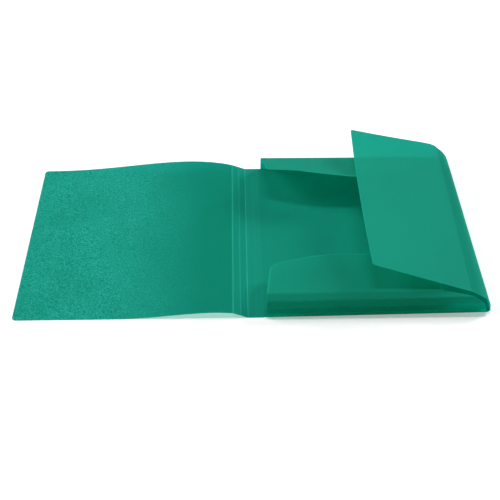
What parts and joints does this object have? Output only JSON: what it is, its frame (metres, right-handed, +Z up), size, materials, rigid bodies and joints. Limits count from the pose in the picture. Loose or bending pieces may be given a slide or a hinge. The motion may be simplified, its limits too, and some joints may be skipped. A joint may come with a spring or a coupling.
{
  "type": "elastic closure folder",
  "caption": "Document folder of creased translucent plastic sheet, with a folding spine, gusseted end and side flaps, and elastics across the back cover's corners.",
  "frame": {"origin": "middle of the open folder's footprint, on the surface it lies on", "axes": "+X from the front cover towards the back cover's fore edge, +Y towards the top edge, +Z up"},
  "size_m": [0.5076, 0.32, 0.061],
  "materials": {
    "sheet": "translucent polypropylene, matt inside",
    "elastic": "braided",
    "barb": "plated"
  },
  "bodies": {
    "back_cover": {"back_cover": "sheet", "bottom_elastic": "elastic", "bottom_elastic_edge_barb": "barb", "bottom_elastic_fore_barb": "barb", "top_elastic": "elastic", "top_elastic_edge_barb": "barb", "top_elastic_fore_barb": "barb"},
    "spine": {"spine_strip_1": "sheet", "spine_strip_2": "sheet", "spine_strip_3": "sheet", "spine_strip_4": "sheet"},
    "front_cover": {"front_cover": "sheet"},
    "side_gusset": {"side_gusset_strip_1": "sheet", "side_gusset_strip_2": "sheet", "side_gusset_strip_3": "sheet", "side_gusset_strip_4": "sheet"},
    "side_flap": {"side_flap": "sheet"},
    "bottom_gusset": {"bottom_gusset_strip_1": "sheet", "bottom_gusset_strip_2": "sheet", "bottom_gusset_strip_3": "sheet", "bottom_gusset_strip_4": "sheet"},
    "bottom_flap": {"bottom_flap": "sheet"},
    "top_gusset": {"top_gusset_strip_1": "sheet", "top_gusset_strip_2": "sheet", "top_gusset_strip_3": "sheet", "top_gusset_strip_4": "sheet"},
    "top_flap": {"top_flap": "sheet"}
  },
  "joints": [
    {"name": "spine_crease", "type": "hinge", "parent": "back_cover", "child": "spine", "pos_m": [0.01336, 0.00237, 0.00025], "axis": [0, 1, 0], "range_deg": [0, 84]},
    {"name": "front_cover_crease", "type": "hinge", "parent": "spine", "child": "front_cover", "pos_m": [-0.01917, 0.00237, 0.00613], "axis": [0, 1, 0], "range_deg": [0, 95.4]},
    {"name": "side_gusset_crease", "type": "hinge", "parent": "back_cover", "child": "side_gusset", "pos_m": [0.25354, 0.00237, 0.00358], "axis": [0, 1, 0], "range_deg": [0, 86]},
    {"name": "side_flap_crease", "type": "hinge", "parent": "side_gusset", "child": "side_flap", "pos_m": [0.23437, 0.00237, 0.02877], "axis": [0.009, 0.9998, 0.0181], "range_deg": [-12.1, 0]},
    {"name": "bottom_gusset_crease", "type": "hinge", "parent": "back_cover", "child": "bottom_gusset", "pos_m": [0.13245, -0.15513, 0.0019], "axis": [0.9999, 0, 0.0139], "range_deg": [0, 48.5]},
    {"name": "bottom_flap_crease", "type": "hinge", "parent": "bottom_gusset", "child": "bottom_flap", "pos_m": [0.13209, -0.15001, 0.02801], "axis": [1, 0.0083, 0.0014], "range_deg": [0, 66.2]},
    {"name": "top_gusset_crease", "type": "hinge", "parent": "back_cover", "child": "top_gusset", "pos_m": [0.13245, 0.15987, 0.0019], "axis": [-0.9999, 0, -0.0139], "range_deg": [0, 83.8]},
    {"name": "top_flap_crease", "type": "hinge", "parent": "top_gusset", "child": "top_flap", "pos_m": [0.13213, 0.14084, 0.02483], "axis": [-0.9998, 0.017, 0.0046], "range_deg": [-19, 0]}
  ],
  "couplings": [
    {"joint": "front_cover_crease", "follows": "spine_crease", "ratio": 1.107},
    {"joint": "side_flap_crease", "follows": "spine_crease", "ratio": -0.14},
    {"joint": "bottom_gusset_crease", "follows": "side_gusset_crease", "ratio": 0.55},
    {"joint": "bottom_flap_crease", "follows": "side_gusset_crease", "ratio": 0.75},
    {"joint": "top_gusset_crease", "follows": "side_gusset_crease", "ratio": 0.95},
    {"joint": "top_flap_crease", "follows": "spine_crease", "ratio": -0.22}
  ]
}
